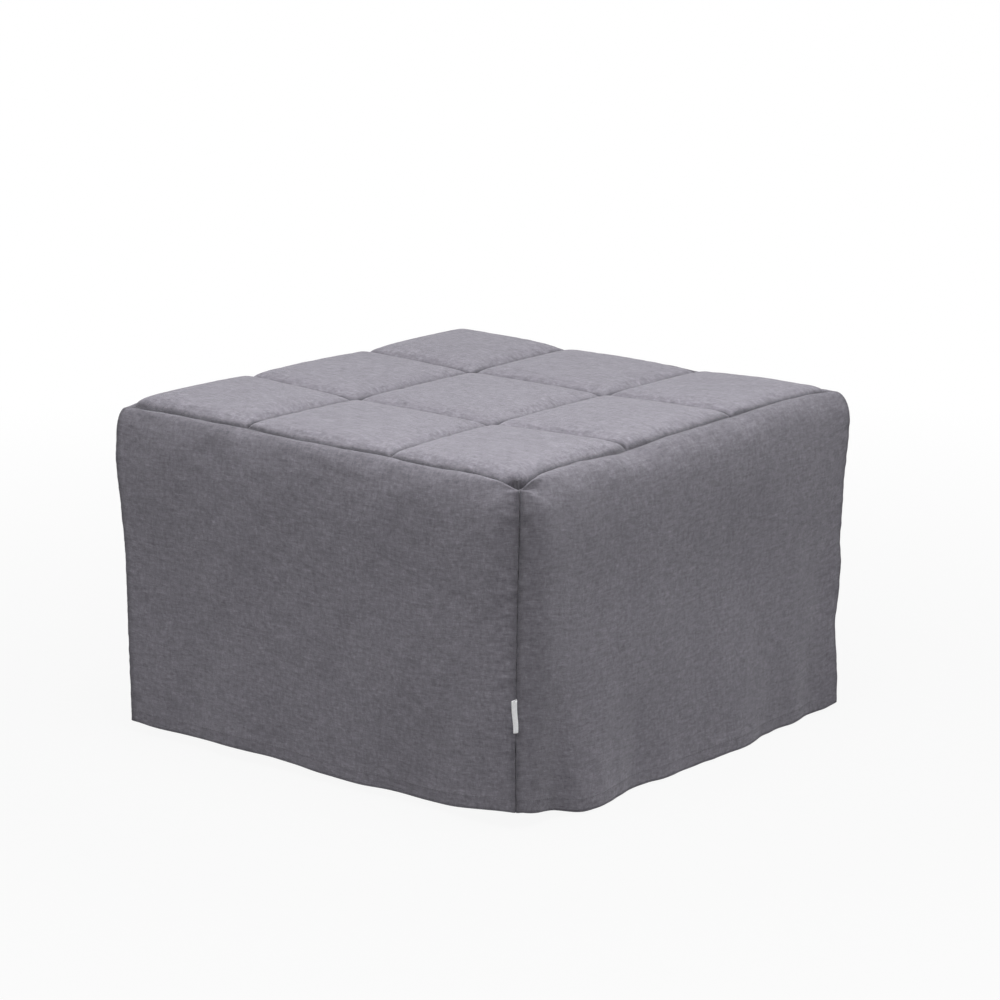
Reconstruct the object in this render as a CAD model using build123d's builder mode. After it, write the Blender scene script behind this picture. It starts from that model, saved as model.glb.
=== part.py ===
"""Fold out ottoman guest bed: three hinged bed sections stacked under a fitted, quilted cover.

Millimetres, +Z up, origin on the floor under the middle. The bed unfolds toward -X. The front faces -Y.
Each bed section is drawn in its own frame, underside of the rails at zero and mattress upward, then set in the stack.
"""

import os
from math import cos, pi, sin

from build123d import *

os.makedirs("parts", exist_ok=True)

# Cover, outside
cover_width = 740.0
cover_depth = 760.0
overall_height = 492.5
cloth_thickness = 2.0
hem_height = 3.0
top_overhang = 0.5

# The side panels draw in by a share of this depth at each share of their height, from the hem up to the seam
drape_depth = 8.0
drape_height_shares = [0.12, 0.25, 0.38, 0.51, 0.64, 0.77, 0.86, 0.91, 0.955, 0.982]
drape_inset_shares = [0.95, 1.0, 0.96, 0.8, 0.5, 0.2, 0.05, 0.0, 0.4, 1.0]
hem_inset = 6.5
seam_inset = 15.0
wave_depth = 5.0
wave_fade_share = 0.86
wave_stations = 17
front_folds = 3
back_folds = 4
left_folds = 4
right_folds = 3

# Quilting of the top: where the sewn channels run, as shares of the half sizes, and the flat margin at the edge
channel_x_shares = [-0.378, 0.311]
channel_y_shares = [-0.337, 0.342]
quilt_rise = 15.4
quilt_shoulder_share = 0.16
quilt_shoulder_rise_share = 0.87
quilt_margin = 3.0
quilt_root = 0.8
quilt_foot = 0.6
channel_width = 2.5

# Label in the near corner seam
tag_bottom = 141.0
tag_height = 44.0
tag_width = 9.0
tag_leaf = 0.5
tag_slit = 0.4
tag_standoff = 0.6

# Bed sections
tube_side = 20.0
tube_wall = 1.5
tube_corner = 2.5
end_room = 36.0
side_room = 30.0
frame_height = 134.0
mattress_room = 6.0
mattress_round = 7.0
stack_gap = 0.3
frame_gap = 6.0
cover_gap = 0.3

# Plugs in the rail ends
plug_head_thickness = 2.0
plug_insert = 14.0

# Slats and the plastic caps that hold them on the rails
slat_count = 6
slat_end_room = 34.0
slat_width = 60.0
slat_thickness = 8.0
slat_round = 1.5
cap_floor = 2.0
cap_roof = 1.5
cap_side = 2.0
cap_setback = 1.5
cap_edge_gap = 0.5
cap_wall = 4.8
peg_radius = 3.0
peg_length = 5.0

# Side hinge between base and middle
side_axis_gap = 3.0
foam_end_gap = 0.3
plate_thickness = 3.0
inner_pad = 0.5
plate_spacing = 0.3
plate_head_radius = 12.0
plate_gusset_run = 34.0
plate_gusset_rise = 34.0
plate_foot_end = 52.0
pad_start = 16.0
rivet_radius = 4.0
rivet_head_radius = 7.0
rivet_head_height = 3.0
rivet_tail_room = 3.0
turning_fit = 0.05
plate_bolt_radius = 3.0
plate_bolt_head_radius = 5.0
plate_bolt_head_height = 2.5
plate_bolt_reach = 24.0
plate_bolt_x = [26.0, 42.0]

# End hinge between middle and head
leaf_thickness = 2.5
leaf_width = 70.0
leaf_start = 3.0
end_hinge_in = 100.0
end_axis_offset = 5.5
knuckle_radius = 5.0
knuckle_length = 20.0
knuckle_gap = 0.3
pin_radius = 2.5
pin_head_radius = 3.5
pin_head_height = 1.2
leaf_screw_radius = 2.0
leaf_screw_head_radius = 4.0
leaf_screw_head_height = 1.5
leaf_screw_length = 10.0
leaf_screw_y = 24.0
leaf_screw_height = 12.0

# Legs
leg_radius = 8.0
leg_bend = 30.0
glide_sole = 4.0
glide_wrap = 4.0
glide_length = 44.0
glide_in = 130.0
fixed_leg_in = 58.0
leg_pivot_in = 88.0
washer_thickness = 1.2
washer_radius = 9.0
leg_side_gap = 0.3
pivot_bolt_radius = 3.0
pivot_bolt_head_radius = 6.5
pivot_bolt_head_height = 3.5
pivot_bolt_round = 1.2
pivot_bolt_end = 1.2
nut_radius = 5.8
nut_height = 5.0
stop_radius = 3.0
stop_length = 9.0
stop_drop = 6.0
stop_gap = 0.3
hex_sides = 6

# Heights that follow from the sizes above
cap_height = cap_floor + slat_thickness + cap_roof
bed_base = tube_side + cap_height
stack_room = overall_height - quilt_rise - cloth_thickness - frame_height
mattress_thickness = (stack_room - cover_gap - stack_gap - frame_gap) / 3 - bed_base
section_height = bed_base + mattress_thickness
middle_top = frame_height + section_height + stack_gap + section_height
head_bottom = middle_top + frame_gap
cover_underside = head_bottom + section_height + cover_gap
quilt_base = cover_underside + cloth_thickness

# Lengths that follow from the sizes above
half_width = cover_width / 2
half_depth = cover_depth / 2
rail_end = half_width - end_room
rail_length = rail_end * 2
rail_face = half_depth - side_room
rail_centre_y = rail_face - tube_side / 2
rail_inner = rail_face - tube_side
mattress_width = (rail_face - mattress_room) * 2
slat_pitch = (rail_length - slat_end_room * 2 - slat_width) / (slat_count - 1)
cap_inner = rail_inner + cap_setback
cap_outer = rail_face - cap_edge_gap
slat_length = (cap_outer - cap_wall) * 2
fixed_leg_x = rail_end - fixed_leg_in
glide_y = rail_centre_y - glide_in
end_hinge_y = rail_inner - end_hinge_in
inner_plate_start = rail_face + inner_pad
rivet_tail = mattress_width / 2 + rivet_tail_room
side_axis_x = -rail_end - side_axis_gap
side_axis_z = section_height + stack_gap / 2
end_axis_x = rail_end + end_axis_offset
end_axis_z = -frame_gap / 2
leg_centre_z = tube_side / 2
pivot_x = rail_end - leg_pivot_in
folding_leg_y = rail_inner - washer_thickness - leg_side_gap - leg_radius
leg_reach = frame_height + leg_centre_z
bar_reach = leg_reach - glide_sole - leg_radius
outer_plate_start = inner_plate_start + plate_thickness + plate_spacing

base_place = Location((0, 0, frame_height))
middle_place = Location((0, 0, middle_top), (180, 0, 0))
head_place = Location((0, 0, head_bottom))
along_y = (90, 0, 0)
along_x = (0, 90, 0)


def save(shape, name, place=None):
    """Set a piece in the stack and write it."""
    placed = shape if place is None else place * shape
    placed.label = name
    export_step(placed, "parts/" + name + ".step")


def slat_centres():
    """The middle of each slat along the section."""
    first = -slat_pitch * (slat_count - 1) / 2
    return [first + slat_pitch * k for k in range(slat_count)]


def make_rail(side, bolt_holes):
    """A hollow side rail, with holes for the cap pegs and for the bolts that cross it."""
    with BuildPart() as rail:
        with BuildSketch(Plane.YZ.offset(-rail_end)):
            with Locations((side * rail_centre_y, tube_side / 2)):
                RectangleRounded(tube_side, tube_side, tube_corner)
                inside = tube_side - tube_wall * 2
                Rectangle(inside, inside, mode=Mode.SUBTRACT)
        extrude(amount=rail_length)
        for x in slat_centres():
            with Locations((x, side * rail_centre_y, tube_side)):
                Cylinder(peg_radius, tube_side / 2, mode=Mode.SUBTRACT)
        for x, radius in bolt_holes:
            with Locations((x, side * rail_centre_y, tube_side / 2)):
                Cylinder(radius, tube_side * 2, rotation=along_y, mode=Mode.SUBTRACT)
    return rail.part


def make_cross_tube(x, outer_face, screw_holes):
    """A hollow tube from rail to rail, with holes in its outer wall for the screws of the hinge leaves."""
    with BuildPart() as tube:
        with BuildSketch(Plane.XZ.offset(-rail_inner)):
            with Locations((x, tube_side / 2)):
                RectangleRounded(tube_side, tube_side, tube_corner)
                inside = tube_side - tube_wall * 2
                Rectangle(inside, inside, mode=Mode.SUBTRACT)
        extrude(amount=rail_inner * 2)
        for y in screw_holes:
            with Locations((outer_face, y, leaf_screw_height)):
                Cylinder(leaf_screw_radius, tube_side / 2, rotation=along_x, mode=Mode.SUBTRACT)
    return tube.part


def make_plugs():
    """Four plastic plugs that close the rail ends."""
    inside = tube_side - tube_wall * 2
    with BuildPart() as plugs:
        for end in (-1, 1):
            for side in (-1, 1):
                with BuildSketch(Plane.YZ.offset(end * rail_end)):
                    with Locations((side * rail_centre_y, tube_side / 2)):
                        RectangleRounded(tube_side, tube_side, tube_corner)
                extrude(amount=end * plug_head_thickness)
                with BuildSketch(Plane.YZ.offset(end * rail_end)):
                    with Locations((side * rail_centre_y, tube_side / 2)):
                        Rectangle(inside, inside)
                extrude(amount=-end * plug_insert)
    return plugs.part


def make_slats():
    """The wooden slats, resting in their caps."""
    with BuildPart() as slats:
        for x in slat_centres():
            with BuildSketch(Plane.XZ.offset(-slat_length / 2)):
                with Locations((x, tube_side + cap_floor + slat_thickness / 2)):
                    RectangleRounded(slat_width, slat_thickness, slat_round)
            extrude(amount=slat_length)
    return slats.part


def make_caps():
    """Plastic caps with a pocket for the slat end and a peg pressed into the rail."""
    cap_depth = cap_outer - cap_inner
    with BuildPart() as caps:
        for x in slat_centres():
            with Locations((x, (cap_inner + cap_outer) / 2, tube_side + cap_height / 2)):
                Box(slat_width + cap_side * 2, cap_depth, cap_height)
            with Locations((x, rail_centre_y, tube_side - peg_length / 2)):
                Cylinder(peg_radius, peg_length)
        mirror(about=Plane.XZ)
        for x in slat_centres():
            with BuildSketch(Plane.XZ.offset(-slat_length / 2)):
                with Locations((x, tube_side + cap_floor + slat_thickness / 2)):
                    RectangleRounded(slat_width, slat_thickness, slat_round)
            extrude(amount=slat_length, mode=Mode.SUBTRACT)
    return caps.part


def make_mattress(left_end, right_end):
    """A mattress section between two ends along the bed."""
    with BuildPart() as mattress:
        with Locations(((left_end + right_end) / 2, 0, bed_base + mattress_thickness / 2)):
            Box(right_end - left_end, mattress_width, mattress_thickness)
        fillet(mattress.edges(), radius=mattress_round)
    return mattress.part


def make_side_plates(plate_start, hole_radius):
    """The two steel plates that carry one section at the side hinge, each with a pad against its rail."""
    plate_end = plate_start + plate_thickness
    foot_end = side_axis_x + plate_foot_end
    pad_left = side_axis_x + pad_start
    gusset_left = side_axis_x + plate_head_radius
    with BuildPart() as plates:
        with BuildSketch(Plane.XZ.offset(-plate_end)):
            with BuildLine():
                Polyline(
                    (side_axis_x - plate_head_radius, side_axis_z),
                    (side_axis_x - plate_head_radius, 0),
                    (foot_end, 0),
                    (foot_end, tube_side),
                    (gusset_left + plate_gusset_run, tube_side),
                    (gusset_left, tube_side + plate_gusset_rise),
                    (gusset_left, side_axis_z),
                    close=True,
                )
            make_face()
            with Locations((side_axis_x, side_axis_z)):
                Circle(plate_head_radius)
        extrude(amount=plate_thickness)
        with BuildSketch(Plane.XZ.offset(-plate_start)):
            with Locations(((pad_left + foot_end) / 2, tube_side / 2)):
                Rectangle(foot_end - pad_left, tube_side)
        extrude(amount=plate_start - rail_face)
        with Locations((side_axis_x, plate_start, side_axis_z)):
            Cylinder(hole_radius, tube_side, rotation=along_y, mode=Mode.SUBTRACT)
        for x in plate_bolt_x:
            with Locations((side_axis_x + x, plate_start, tube_side / 2)):
                Cylinder(plate_bolt_radius, tube_side, rotation=along_y, mode=Mode.SUBTRACT)
        mirror(about=Plane.XZ)
    return plates.part


def make_plate_bolts(plate_start):
    """Bolts that hold the side plates to the rails."""
    head_start = plate_start + plate_thickness
    with BuildPart() as bolts:
        for x in plate_bolt_x:
            with Locations((side_axis_x + x, head_start + plate_bolt_head_height / 2, tube_side / 2)):
                Cylinder(plate_bolt_head_radius, plate_bolt_head_height, rotation=along_y)
            with Locations((side_axis_x + x, head_start - plate_bolt_reach / 2, tube_side / 2)):
                Cylinder(plate_bolt_radius, plate_bolt_reach, rotation=along_y)
        mirror(about=Plane.XZ)
    return bolts.part


def make_side_rivets():
    """Two rivets on the side hinge axis, held in the outer plates."""
    outer_face = outer_plate_start + plate_thickness
    with BuildPart() as rivets:
        with Locations((side_axis_x, outer_face + rivet_head_height / 2, side_axis_z)):
            Cylinder(rivet_head_radius, rivet_head_height, rotation=along_y)
        with Locations((side_axis_x, (outer_face + rivet_tail) / 2, side_axis_z)):
            Cylinder(rivet_radius, outer_face - rivet_tail, rotation=along_y)
        tail_length = inner_plate_start - plate_spacing - rivet_tail
        with Locations((side_axis_x, rivet_tail + tail_length / 2, side_axis_z)):
            Cylinder(rivet_head_radius, tail_length, rotation=along_y)
        mirror(about=Plane.XZ)
    return rivets.part


def knuckle_spans(outer):
    """Where the knuckles of one leaf lie along the hinge: two outer ones, or the one between them."""
    half = leaf_width / 2
    if outer:
        return [(-half, knuckle_length - half), (half - knuckle_length, half)]
    inner = half - knuckle_length - knuckle_gap
    return [(-inner, inner)]


def make_leaves(outer, bore):
    """The hinge leaves of one section, against its end tube."""
    leaf_face = rail_end + leaf_thickness
    with BuildPart() as leaves:
        for centre in (-end_hinge_y, end_hinge_y):
            with Locations((rail_end + leaf_thickness / 2, centre, (leaf_start + tube_side) / 2)):
                Box(leaf_thickness, leaf_width, tube_side - leaf_start)
            for low, high in knuckle_spans(outer):
                middle = centre + (low + high) / 2
                neck_height = leaf_start - end_axis_z
                with Locations((rail_end + leaf_thickness / 2, middle, end_axis_z + neck_height / 2)):
                    Box(leaf_thickness, high - low, neck_height)
                with Locations((end_axis_x, middle, end_axis_z)):
                    Cylinder(knuckle_radius, high - low, rotation=along_y)
            with Locations((end_axis_x, centre, end_axis_z)):
                Cylinder(bore, leaf_width * 2, rotation=along_y, mode=Mode.SUBTRACT)
            for y in (-leaf_screw_y, leaf_screw_y):
                with Locations((leaf_face, centre + y, leaf_screw_height)):
                    Cylinder(leaf_screw_radius, leaf_width / 2, rotation=along_x, mode=Mode.SUBTRACT)
    return leaves.part


def leaf_screw_places():
    """Every leaf screw's place along the end tube."""
    return [
        centre + y
        for centre in (-end_hinge_y, end_hinge_y)
        for y in (-leaf_screw_y, leaf_screw_y)
    ]


def make_leaf_screws():
    """Screws through the leaves into the end tube."""
    leaf_face = rail_end + leaf_thickness
    with BuildPart() as screws:
        for y in leaf_screw_places():
            with Locations((leaf_face + leaf_screw_head_height / 2, y, leaf_screw_height)):
                Cylinder(leaf_screw_head_radius, leaf_screw_head_height, rotation=along_x)
            with Locations((leaf_face - leaf_screw_length / 2, y, leaf_screw_height)):
                Cylinder(leaf_screw_radius, leaf_screw_length, rotation=along_x)
    return screws.part


def make_end_pins():
    """The pins of the end hinge, with a small head at each end."""
    with BuildPart() as pins:
        for centre in (-end_hinge_y, end_hinge_y):
            with Locations((end_axis_x, centre, end_axis_z)):
                Cylinder(pin_radius, leaf_width, rotation=along_y)
            for end in (-1, 1):
                head_y = centre + end * (leaf_width + pin_head_height) / 2
                with Locations((end_axis_x, head_y, end_axis_z)):
                    Cylinder(pin_head_radius, pin_head_height, rotation=along_y)
    return pins.part


def make_u_leg(points, hole_at):
    """A bent leg along four corner points, with rounded ends and pivot holes where it folds."""
    with BuildPart() as leg:
        with BuildLine() as path:
            FilletPolyline(*points, radius=leg_bend)
        start = path.wires()[0] @ 0
        direction = path.wires()[0] % 0
        with BuildSketch(Plane(origin=start, z_dir=direction)):
            Circle(leg_radius)
        sweep()
        if hole_at:
            for end in (points[0], points[-1]):
                with Locations(end):
                    Sphere(leg_radius)
                    Cylinder(
                        pivot_bolt_radius + turning_fit,
                        leg_radius * 3,
                        rotation=along_y,
                        mode=Mode.SUBTRACT,
                    )
    return leg.part


def make_folding_leg(end):
    """A U leg lying in its frame, pivoted near one end of the section."""
    bar_x = end * (pivot_x - bar_reach)
    points = [
        (end * pivot_x, folding_leg_y, leg_centre_z),
        (bar_x, folding_leg_y, leg_centre_z),
        (bar_x, -folding_leg_y, leg_centre_z),
        (end * pivot_x, -folding_leg_y, leg_centre_z),
    ]
    return make_u_leg(points, True)


def make_fixed_leg(x):
    """A U leg welded under the base rails."""
    points = [
        (x, rail_centre_y, 0),
        (x, rail_centre_y, leg_centre_z - bar_reach),
        (x, -rail_centre_y, leg_centre_z - bar_reach),
        (x, -rail_centre_y, 0),
    ]
    return make_u_leg(points, False)


def make_folding_glides(end):
    """Plastic glides clipped round the bar of a folding leg."""
    bar_x = end * (pivot_x - bar_reach)
    sole = leg_radius + glide_sole
    with BuildPart() as glides:
        for y in (-glide_y, glide_y):
            with Locations((bar_x - end * (sole - glide_wrap) / 2, y, leg_centre_z)):
                Box(sole + glide_wrap, glide_length, tube_side)
            with Locations((bar_x, y, leg_centre_z)):
                Cylinder(leg_radius, glide_length, rotation=along_y, mode=Mode.SUBTRACT)
    return glides.part


def make_fixed_glides():
    """Plastic glides clipped round the bars of the fixed legs."""
    bar_z = leg_centre_z - bar_reach
    sole = leg_radius + glide_sole
    with BuildPart() as glides:
        for x in (-fixed_leg_x, fixed_leg_x):
            for y in (-glide_y, glide_y):
                with Locations((x, y, bar_z - (sole - glide_wrap) / 2)):
                    Box(tube_side, glide_length, sole + glide_wrap)
                with Locations((x, y, bar_z)):
                    Cylinder(leg_radius, glide_length, rotation=along_y, mode=Mode.SUBTRACT)
    return glides.part


def make_pivot_bolts(end):
    """Bolts through the rails on which a folding leg turns."""
    tip = folding_leg_y - leg_radius - leg_side_gap - nut_height - pivot_bolt_end
    with BuildPart() as bolts:
        with BuildSketch(Plane.XZ.offset(-rail_face)):
            with Locations((end * pivot_x, leg_centre_z)):
                Circle(pivot_bolt_head_radius)
        extrude(amount=-pivot_bolt_head_height)
        fillet(bolts.edges().group_by(Axis.Y)[-1], radius=pivot_bolt_round)
        with Locations((end * pivot_x, (rail_face + tip) / 2, leg_centre_z)):
            Cylinder(pivot_bolt_radius, rail_face - tip, rotation=along_y)
        mirror(about=Plane.XZ)
    return bolts.part


def make_pivot_nuts(end):
    """Lock nuts on the inner ends of the pivot bolts."""
    nut_face = folding_leg_y - leg_radius - leg_side_gap
    with BuildPart() as nuts:
        with BuildSketch(Plane.XZ.offset(-nut_face)):
            with Locations((end * pivot_x, leg_centre_z)):
                RegularPolygon(nut_radius, hex_sides)
                Circle(pivot_bolt_radius, mode=Mode.SUBTRACT)
        extrude(amount=nut_height)
        mirror(about=Plane.XZ)
    return nuts.part


def make_pivot_washers(end):
    """Washers between the rails and a folding leg."""
    with BuildPart() as washers:
        with BuildSketch(Plane.XZ.offset(-rail_inner)):
            with Locations((end * pivot_x, leg_centre_z)):
                Circle(washer_radius)
                Circle(pivot_bolt_radius, mode=Mode.SUBTRACT)
        extrude(amount=washer_thickness)
        mirror(about=Plane.XZ)
    return washers.part


def make_stops(end):
    """Pins welded inside the rails, where an opened leg comes to rest."""
    stop_x = end * (pivot_x + leg_radius + stop_radius + stop_gap)
    with BuildPart() as stops:
        with BuildSketch(Plane.XZ.offset(-rail_inner)):
            with Locations((stop_x, leg_centre_z - stop_drop)):
                Circle(stop_radius)
        extrude(amount=stop_length)
        mirror(about=Plane.XZ)
    return stops.part


def make_section(name, place, bolt_holes, left_end, right_end, leaf_screws):
    """Write the pieces that every bed section has."""
    tube_x = rail_end - tube_side / 2
    save(make_rail(-1, bolt_holes), name + "_front_rail", place)
    save(make_rail(1, bolt_holes), name + "_back_rail", place)
    save(make_cross_tube(-tube_x, -rail_end, []), name + "_left_tube", place)
    save(make_cross_tube(0, 0, []), name + "_centre_tube", place)
    save(make_cross_tube(tube_x, rail_end, leaf_screws), name + "_right_tube", place)
    save(make_plugs(), name + "_rail_plugs", place)
    save(make_slats(), name + "_slats", place)
    save(make_caps(), name + "_slat_caps", place)
    save(make_mattress(left_end, right_end), name + "_mattress", place)


def make_leg_set(name, place, end):
    """Write a folding leg and what it turns on."""
    save(make_folding_leg(end), name + "_leg", place)
    save(make_folding_glides(end), name + "_leg_glides", place)
    save(make_pivot_bolts(end), name + "_leg_bolts", place)
    save(make_pivot_nuts(end), name + "_leg_nuts", place)
    save(make_pivot_washers(end), name + "_leg_washers", place)
    save(make_stops(end), name + "_leg_stops", place)


def panel_levels():
    """Height and inset of each line the side panels are lofted through."""
    panel_height = cover_underside - hem_height
    drape = [
        (hem_height + panel_height * height_share, drape_depth * inset_share)
        for height_share, inset_share in zip(drape_height_shares, drape_inset_shares)
    ]
    return [(hem_height, hem_inset), *drape, (cover_underside, seam_inset)]


def panel_line(run_half, out_half, height, inset, folds, depth):
    """Points along a side panel at one height, as (along, outward), for its face or its back."""
    fade = max(1 - height / (cover_underside * wave_fade_share), 0)
    half_run = run_half - inset - depth
    points = []
    for k in range(wave_stations):
        share = k / (wave_stations - 1)
        wave = wave_depth * fade * sin(pi * share) * cos(pi * folds * share * 2)
        points.append((half_run * (share * 2 - 1), out_half - inset - depth + wave))
    return points


def make_side_panel(run_half, out_half, folds, turn):
    """A hanging side panel, lofted from hem to seam, then turned to its side of the cover."""
    with BuildPart() as panel:
        for height, inset in panel_levels():
            face = panel_line(run_half, out_half, height, inset, folds, 0)
            back = panel_line(run_half, out_half, height, inset, folds, cloth_thickness)
            with BuildSketch(Plane.XY.offset(height)):
                with BuildLine():
                    Spline(*[(along, -out) for along, out in face])
                    Spline(*[(along, -out) for along, out in back])
                    Line((face[0][0], -face[0][1]), (back[0][0], -back[0][1]))
                    Line((face[-1][0], -face[-1][1]), (back[-1][0], -back[-1][1]))
                make_face()
        loft()
    return Location((0, 0, 0), (0, 0, turn)) * panel.part


def quilt_cells(half_size, channel_shares):
    """Where each puffed square starts and ends along one side of the top."""
    inner = half_size - seam_inset + top_overhang - quilt_margin
    channels = [half_size * share for share in channel_shares]
    starts = [-inner, *[channel + channel_width for channel in channels]]
    ends = [*[channel - channel_width for channel in channels], inner]
    return list(zip(starts, ends))


def quilt_ridge(low, high, foot):
    """Outline of a row of squares: it rises steeply from inside the cloth and crowns gently."""
    spring = quilt_base - quilt_root
    shoulder = quilt_base + quilt_rise * quilt_shoulder_rise_share
    run = (high - low) * quilt_shoulder_share
    Bezier((low, spring), (low, shoulder), (low + run, shoulder))
    ThreePointArc((low + run, shoulder), ((low + high) / 2, quilt_base + quilt_rise), (high - run, shoulder))
    Bezier((high - run, shoulder), (high, shoulder), (high, spring))
    Polyline((high, spring), (high, foot), (low, foot), (low, spring))


# The cover: the squares stand where ridges running both ways cross
with BuildPart() as quilt_pads:
    with BuildSketch(Plane.XZ.offset(-half_depth)):
        for low, high in quilt_cells(half_width, channel_x_shares):
            with BuildLine():
                quilt_ridge(low, high, cover_underside + quilt_foot)
            make_face()
    extrude(amount=cover_depth)
    with BuildSketch(Plane.YZ.offset(-half_width)):
        for low, high in quilt_cells(half_depth, channel_y_shares):
            with BuildLine():
                quilt_ridge(low, high, cover_underside)
            make_face()
    extrude(amount=cover_width, mode=Mode.INTERSECT)

with BuildPart() as cover_top:
    with Locations((0, 0, cover_underside + cloth_thickness / 2)):
        edge_inset = seam_inset - top_overhang
        Box(cover_width - edge_inset * 2, cover_depth - edge_inset * 2, cloth_thickness)
    add(quilt_pads.part)
save(cover_top.part, "cover_top")

save(make_side_panel(half_width, half_depth, front_folds, 0), "cover_front_panel")
save(make_side_panel(half_width, half_depth, back_folds, 180), "cover_back_panel")
save(make_side_panel(half_depth, half_width, right_folds, 90), "cover_right_panel")
save(make_side_panel(half_depth, half_width, left_folds, -90), "cover_left_panel")

# The label: a strip folded on itself, its ends caught in the near corner seam
tag_right = half_width - drape_depth - cloth_thickness
tag_face = half_depth - drape_depth + tag_standoff
tag_depth = tag_leaf * 2 + tag_slit
with BuildPart() as cover_tag:
    with BuildSketch(Plane.XY.offset(tag_bottom)):
        with Locations((tag_right - tag_width / 2, -tag_face - tag_depth / 2)):
            Rectangle(tag_width, tag_depth)
        with Locations((tag_right - tag_width / 2 + tag_leaf, -tag_face - tag_depth / 2)):
            Rectangle(tag_width, tag_slit, mode=Mode.SUBTRACT)
    extrude(amount=tag_height)
save(cover_tag.part, "cover_tag")

# The base section, with its fixed legs and its half of the side hinge
plate_holes = [(side_axis_x + x, plate_bolt_radius) for x in plate_bolt_x]
foam_left = side_axis_x + foam_end_gap
foam_right = end_axis_x - foam_end_gap
make_section("base", base_place, plate_holes, foam_left, rail_end, [])
save(make_fixed_leg(-fixed_leg_x), "base_left_leg", base_place)
save(make_fixed_leg(fixed_leg_x), "base_right_leg", base_place)
save(make_fixed_glides(), "base_leg_glides", base_place)
save(make_side_plates(outer_plate_start, rivet_radius), "base_hinge_plates", base_place)
save(make_plate_bolts(outer_plate_start), "base_plate_bolts", base_place)
save(make_side_rivets(), "side_hinge_rivets", base_place)

# The middle section, turned face down over the base
middle_holes = [*plate_holes, (pivot_x, pivot_bolt_radius)]
make_section("middle", middle_place, middle_holes, foam_left, foam_right, leaf_screw_places())
save(make_side_plates(inner_plate_start, rivet_radius + turning_fit), "middle_hinge_plates", middle_place)
save(make_plate_bolts(inner_plate_start), "middle_plate_bolts", middle_place)
save(make_leaves(True, pin_radius), "middle_hinge_leaves", middle_place)
save(make_leaf_screws(), "middle_leaf_screws", middle_place)
save(make_end_pins(), "end_hinge_pins", middle_place)
make_leg_set("middle", middle_place, 1)

# The head section, face up on the middle one
head_holes = [(-pivot_x, pivot_bolt_radius)]
make_section("head", head_place, head_holes, -rail_end, foam_right, leaf_screw_places())
save(make_leaves(False, pin_radius + turning_fit), "head_hinge_leaves", head_place)
save(make_leaf_screws(), "head_leaf_screws", head_place)
make_leg_set("head", head_place, -1)
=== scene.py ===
"""Fold out ottoman guest bed: the looks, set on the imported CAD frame.

Lengths in the shape code are millimetres, and meshes are written in metres.
"""

import math

import bmesh
import bpy
import numpy as np
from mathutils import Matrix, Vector


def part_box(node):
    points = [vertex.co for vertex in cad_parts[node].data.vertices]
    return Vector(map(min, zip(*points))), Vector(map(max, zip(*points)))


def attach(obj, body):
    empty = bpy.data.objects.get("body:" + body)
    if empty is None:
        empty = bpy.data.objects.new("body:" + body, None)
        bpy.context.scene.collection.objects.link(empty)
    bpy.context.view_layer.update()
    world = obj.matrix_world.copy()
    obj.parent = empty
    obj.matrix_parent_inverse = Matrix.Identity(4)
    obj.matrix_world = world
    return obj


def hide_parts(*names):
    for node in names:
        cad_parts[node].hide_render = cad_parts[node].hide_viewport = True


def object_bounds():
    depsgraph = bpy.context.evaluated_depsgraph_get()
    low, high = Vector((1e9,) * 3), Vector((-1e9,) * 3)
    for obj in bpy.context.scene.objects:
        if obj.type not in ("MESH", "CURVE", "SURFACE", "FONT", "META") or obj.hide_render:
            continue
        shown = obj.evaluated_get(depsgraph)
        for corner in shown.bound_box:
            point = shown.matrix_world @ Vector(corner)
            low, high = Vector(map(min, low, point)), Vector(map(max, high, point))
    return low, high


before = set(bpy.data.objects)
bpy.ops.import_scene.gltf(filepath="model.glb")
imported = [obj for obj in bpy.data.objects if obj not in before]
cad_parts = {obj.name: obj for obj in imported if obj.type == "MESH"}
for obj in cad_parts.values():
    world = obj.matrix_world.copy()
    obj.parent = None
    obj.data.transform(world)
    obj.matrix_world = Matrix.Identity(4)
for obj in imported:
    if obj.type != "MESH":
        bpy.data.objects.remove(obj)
cad_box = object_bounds()

# Half the cover's width and depth, the height where its walls turn over into the lip, and its cloth
MM = 0.001
half_x = float(round(cad_box[1][0] / MM))
half_y = float(round(cad_box[1][1] / MM))
lip_start = 440.0
cloth = 1.4

# Small tools


def through(x, table):
    """A smooth value at x through pairs of place and value."""
    places, values = np.array(table, float).T
    slopes = np.gradient(values, places)
    x = np.clip(x, places[0], places[-1])
    k = np.clip(np.searchsorted(places, x) - 1, 0, len(places) - 2)
    run = places[k + 1] - places[k]
    t = (x - places[k]) / run
    low = (2 * t**3 - 3 * t**2 + 1) * values[k] + (t**3 - 2 * t**2 + t) * run * slopes[k]
    high = (3 * t**2 - 2 * t**3) * values[k + 1] + (t**3 - t**2) * run * slopes[k + 1]
    return low + high


def ripple(a, b, size, seed, squeeze=1.0):
    """A smooth uneven field about 1 high, with waves about size long. Squeeze shortens them along b."""
    rng = np.random.default_rng(seed)
    count, level = 8, 2.8
    total = 0.0
    for _ in range(count):
        angle = rng.uniform(0, math.pi)
        wave = 2 * math.pi / (size * rng.uniform(0.7, 1.7))
        total = total + np.sin(
            wave * (a * math.cos(angle) + b * squeeze * math.sin(angle)) + rng.uniform(0, 2 * math.pi)
        )
    return total / level


def waves(kind, a, b, seed, squeeze=1.0):
    """Uneven waves of a kind, which is their depth and their length."""
    depth, length = kind
    return depth * ripple(a, b, length, seed, squeeze)


def bell(gap, width):
    """1 where there is no gap, falling smoothly towards 0 past the width."""
    return np.exp(-((gap / width) ** 2))


def below(value, limit, blur):
    """1 below a limit and 0 above it, with a soft step between."""
    return 1 / (1 + np.exp((value - limit) / blur))


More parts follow.
